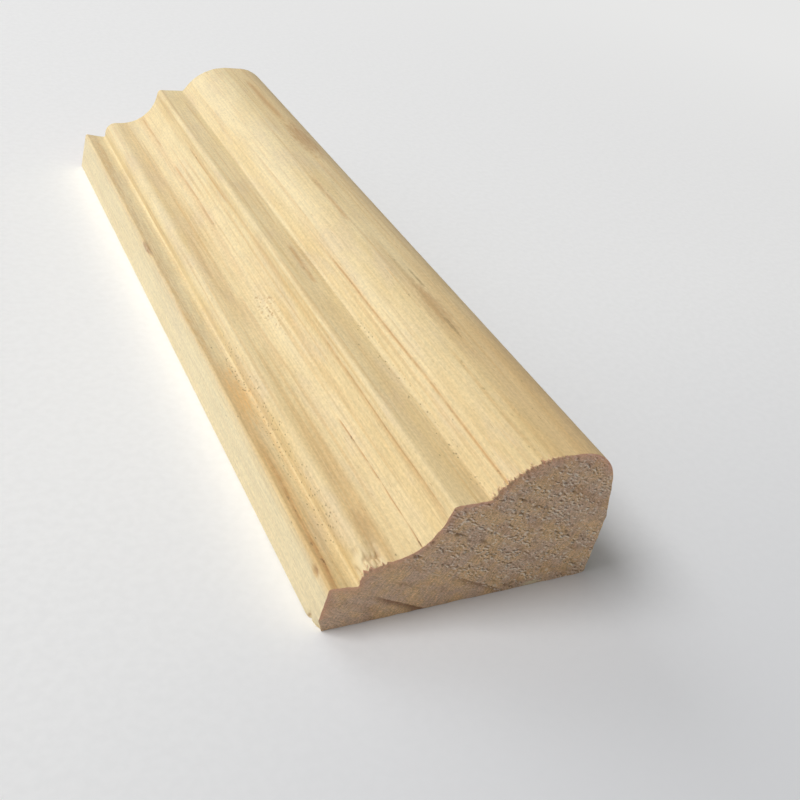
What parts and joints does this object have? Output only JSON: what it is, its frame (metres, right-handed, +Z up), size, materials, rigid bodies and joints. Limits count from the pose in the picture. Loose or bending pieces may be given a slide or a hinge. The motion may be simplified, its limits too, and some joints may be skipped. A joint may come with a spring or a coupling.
{
  "type": "pine moulding",
  "caption": "Short offcut of softwood trim moulding: a flat back and, on its face, a quirk, a bead, a cove, a fillet and a broad rounded nose, sawn square at both ends.",
  "frame": {"origin": "Middle of the flat back, half way along the piece and half way across its width.", "axes": "+Y along the length and the grain, +X across the width from the thin edge to the thick edge, +Z up from the back to the moulded face."},
  "size_m": [0.045, 0.147, 0.025],
  "materials": {
    "pine": "bare planed pine, matt, with sawn end grain"
  },
  "bodies": {
    "root": {"pine_moulding": "pine"}
  },
  "joints": []
}
